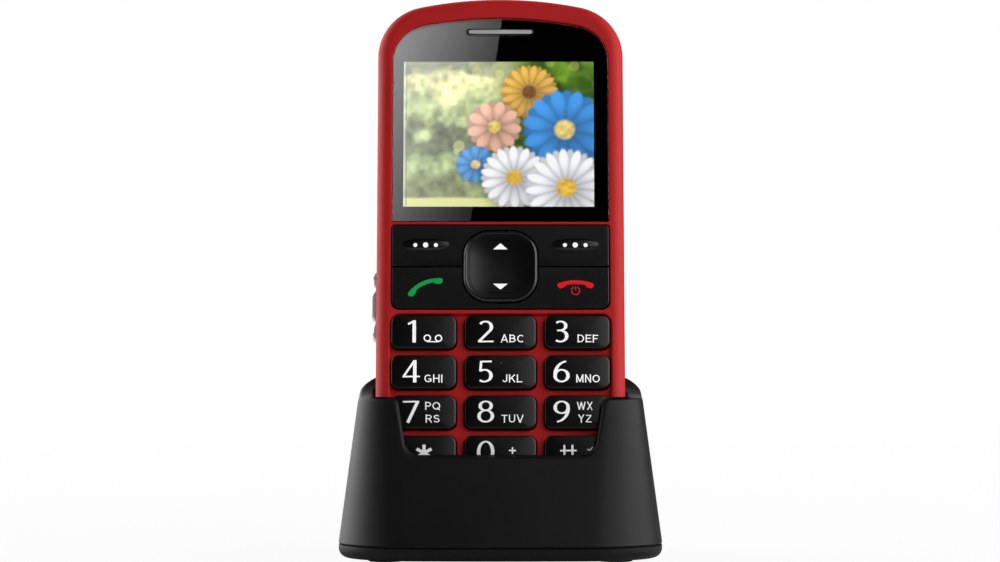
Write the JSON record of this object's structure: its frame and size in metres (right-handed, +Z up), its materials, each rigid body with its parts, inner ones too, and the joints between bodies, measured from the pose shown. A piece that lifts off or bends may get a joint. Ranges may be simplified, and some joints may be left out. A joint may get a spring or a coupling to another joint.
{
  "type": "feature phone",
  "caption": "Bar phone with a lit display, large number keys, call keys and a side volume rocker, standing in a desktop charging cradle that it lifts out of.",
  "frame": {"origin": "on the table, under the middle of the cradle's base", "axes": "+Z up, +X to the viewer's right, the screen faces -Y"},
  "size_m": [0.0752, 0.058, 0.131],
  "materials": {
    "red_plastic": "satin red, moulded through",
    "clear_plastic": "clear, polished",
    "black_print": "black print behind the window",
    "display_glass": "lit colour display",
    "bright_metal": "bright pressed metal",
    "silver_plastic": "silver paint, satin",
    "dark_plastic": "black, plain",
    "circuit_board": "green solder mask",
    "film": "clear film with metal domes",
    "silicone": "grey silicone",
    "battery_wrap": "wrapped cell, plain",
    "gold_contact": "gold plated",
    "key_plastic": "black, satin",
    "cradle_plastic": "black, fine spark-eroded grain",
    "foot_rubber": "matt black",
    "steel": "plain mild steel"
  },
  "bodies": {
    "cradle": {"cradle_shell": "cradle_plastic", "cradle_base": "cradle_plastic", "cradle_feet": "foot_rubber", "ballast_plate": "steel", "cradle_board": "circuit_board", "contact_block": "dark_plastic", "cradle_inlet": "bright_metal", "cradle_screws": "bright_metal"},
    "phone": {"front_housing": "red_plastic", "rear_housing": "red_plastic", "display_window": "clear_plastic", "camera_window": "clear_plastic", "torch_lens": "clear_plastic", "window_mask": "black_print", "display_panel": "display_glass", "display_frame": "bright_metal", "shield_can": "bright_metal", "vibration_motor": "bright_metal", "sim_holder": "bright_metal", "usb_socket": "bright_metal", "phone_screws": "bright_metal", "rocker_pin": "bright_metal", "earpiece_grille": "silver_plastic", "earpiece_receiver": "dark_plastic", "side_switches": "dark_plastic", "sos_switch": "dark_plastic", "loudspeaker": "dark_plastic", "camera_module": "dark_plastic", "microphone": "dark_plastic", "main_board": "circuit_board", "dome_sheet": "film", "keypad_mat": "silicone", "battery_pack": "battery_wrap", "battery_contacts": "gold_contact", "antenna": "gold_contact", "charge_pads": "gold_contact"},
    "key_1": {"key_1": "key_plastic"},
    "key_2": {"key_2": "key_plastic"},
    "key_3": {"key_3": "key_plastic"},
    "key_4": {"key_4": "key_plastic"},
    "key_5": {"key_5": "key_plastic"},
    "key_6": {"key_6": "key_plastic"},
    "key_7": {"key_7": "key_plastic"},
    "key_8": {"key_8": "key_plastic"},
    "key_9": {"key_9": "key_plastic"},
    "key_star": {"key_star": "key_plastic"},
    "key_0": {"key_0": "key_plastic"},
    "key_hash": {"key_hash": "key_plastic"},
    "left_soft_key": {"left_soft_key": "key_plastic"},
    "right_soft_key": {"right_soft_key": "key_plastic"},
    "call_key": {"call_key": "key_plastic"},
    "end_key": {"end_key": "key_plastic"},
    "nav_key": {"nav_key": "key_plastic"},
    "volume_rocker": {"volume_rocker": "silver_plastic"},
    "sos_button": {"sos_button": "silver_plastic"},
    "battery_cover": {"battery_cover": "red_plastic"},
    "charge_pin_left": {"charge_pin_left": "gold_contact"},
    "charge_pin_right": {"charge_pin_right": "gold_contact"}
  },
  "joints": [
    {"name": "phone_lift", "type": "slide", "parent": "cradle", "child": "phone", "axis": [0, 0.2924, 0.9563], "range_m": [0, 0.06]},
    {"name": "key_1_press", "type": "slide", "parent": "phone", "child": "key_1", "axis": [0, 0.9563, -0.2924], "range_m": [0, 0.0004], "stiffness_N_per_m": 800},
    {"name": "key_2_press", "type": "slide", "parent": "phone", "child": "key_2", "axis": [0, 0.9563, -0.2924], "range_m": [0, 0.0004], "stiffness_N_per_m": 800},
    {"name": "key_3_press", "type": "slide", "parent": "phone", "child": "key_3", "axis": [0, 0.9563, -0.2924], "range_m": [0, 0.0004], "stiffness_N_per_m": 800},
    {"name": "key_4_press", "type": "slide", "parent": "phone", "child": "key_4", "axis": [0, 0.9563, -0.2924], "range_m": [0, 0.0004], "stiffness_N_per_m": 800},
    {"name": "key_5_press", "type": "slide", "parent": "phone", "child": "key_5", "axis": [0, 0.9563, -0.2924], "range_m": [0, 0.0004], "stiffness_N_per_m": 800},
    {"name": "key_6_press", "type": "slide", "parent": "phone", "child": "key_6", "axis": [0, 0.9563, -0.2924], "range_m": [0, 0.0004], "stiffness_N_per_m": 800},
    {"name": "key_7_press", "type": "slide", "parent": "phone", "child": "key_7", "axis": [0, 0.9563, -0.2924], "range_m": [0, 0.0004], "stiffness_N_per_m": 800},
    {"name": "key_8_press", "type": "slide", "parent": "phone", "child": "key_8", "axis": [0, 0.9563, -0.2924], "range_m": [0, 0.0004], "stiffness_N_per_m": 800},
    {"name": "key_9_press", "type": "slide", "parent": "phone", "child": "key_9", "axis": [0, 0.9563, -0.2924], "range_m": [0, 0.0004], "stiffness_N_per_m": 800},
    {"name": "key_star_press", "type": "slide", "parent": "phone", "child": "key_star", "axis": [0, 0.9563, -0.2924], "range_m": [0, 0.0004], "stiffness_N_per_m": 800},
    {"name": "key_0_press", "type": "slide", "parent": "phone", "child": "key_0", "axis": [0, 0.9563, -0.2924], "range_m": [0, 0.0004], "stiffness_N_per_m": 800},
    {"name": "key_hash_press", "type": "slide", "parent": "phone", "child": "key_hash", "axis": [0, 0.9563, -0.2924], "range_m": [0, 0.0004], "stiffness_N_per_m": 800},
    {"name": "left_soft_key_press", "type": "slide", "parent": "phone", "child": "left_soft_key", "axis": [0, 0.9563, -0.2924], "range_m": [0, 0.0004], "stiffness_N_per_m": 800},
    {"name": "right_soft_key_press", "type": "slide", "parent": "phone", "child": "right_soft_key", "axis": [0, 0.9563, -0.2924], "range_m": [0, 0.0004], "stiffness_N_per_m": 800},
    {"name": "call_key_press", "type": "slide", "parent": "phone", "child": "call_key", "axis": [0, 0.9563, -0.2924], "range_m": [0, 0.0004], "stiffness_N_per_m": 800},
    {"name": "end_key_press", "type": "slide", "parent": "phone", "child": "end_key", "axis": [0, 0.9563, -0.2924], "range_m": [0, 0.0004], "stiffness_N_per_m": 800},
    {"name": "nav_key_rock", "type": "hinge", "parent": "phone", "child": "nav_key", "pos_m": [0, -0.00293, 0.06705], "axis": [1, 0, 0], "range_deg": [-2, 2], "stiffness_Nm_per_rad": 0.05},
    {"name": "volume_rock", "type": "hinge", "parent": "phone", "child": "volume_rocker", "pos_m": [-0.0261, -0.00227, 0.05827], "axis": [0, -0.9563, 0.2924], "range_deg": [-2.5, 2.5], "stiffness_Nm_per_rad": 0.05},
    {"name": "sos_press", "type": "slide", "parent": "phone", "child": "sos_button", "axis": [0, -0.9563, 0.2924], "range_m": [0, 0.0005], "stiffness_N_per_m": 800},
    {"name": "cover_pull", "type": "slide", "parent": "phone", "child": "battery_cover", "axis": [0, 0.9563, -0.2924], "range_m": [0, 0.015]},
    {"name": "charge_pin_left_press", "type": "slide", "parent": "cradle", "child": "charge_pin_left", "axis": [0, -0.2924, -0.9563], "range_m": [0, 0.0008], "stiffness_N_per_m": 600},
    {"name": "charge_pin_right_press", "type": "slide", "parent": "cradle", "child": "charge_pin_right", "axis": [0, -0.2924, -0.9563], "range_m": [0, 0.0008], "stiffness_N_per_m": 600}
  ]
}
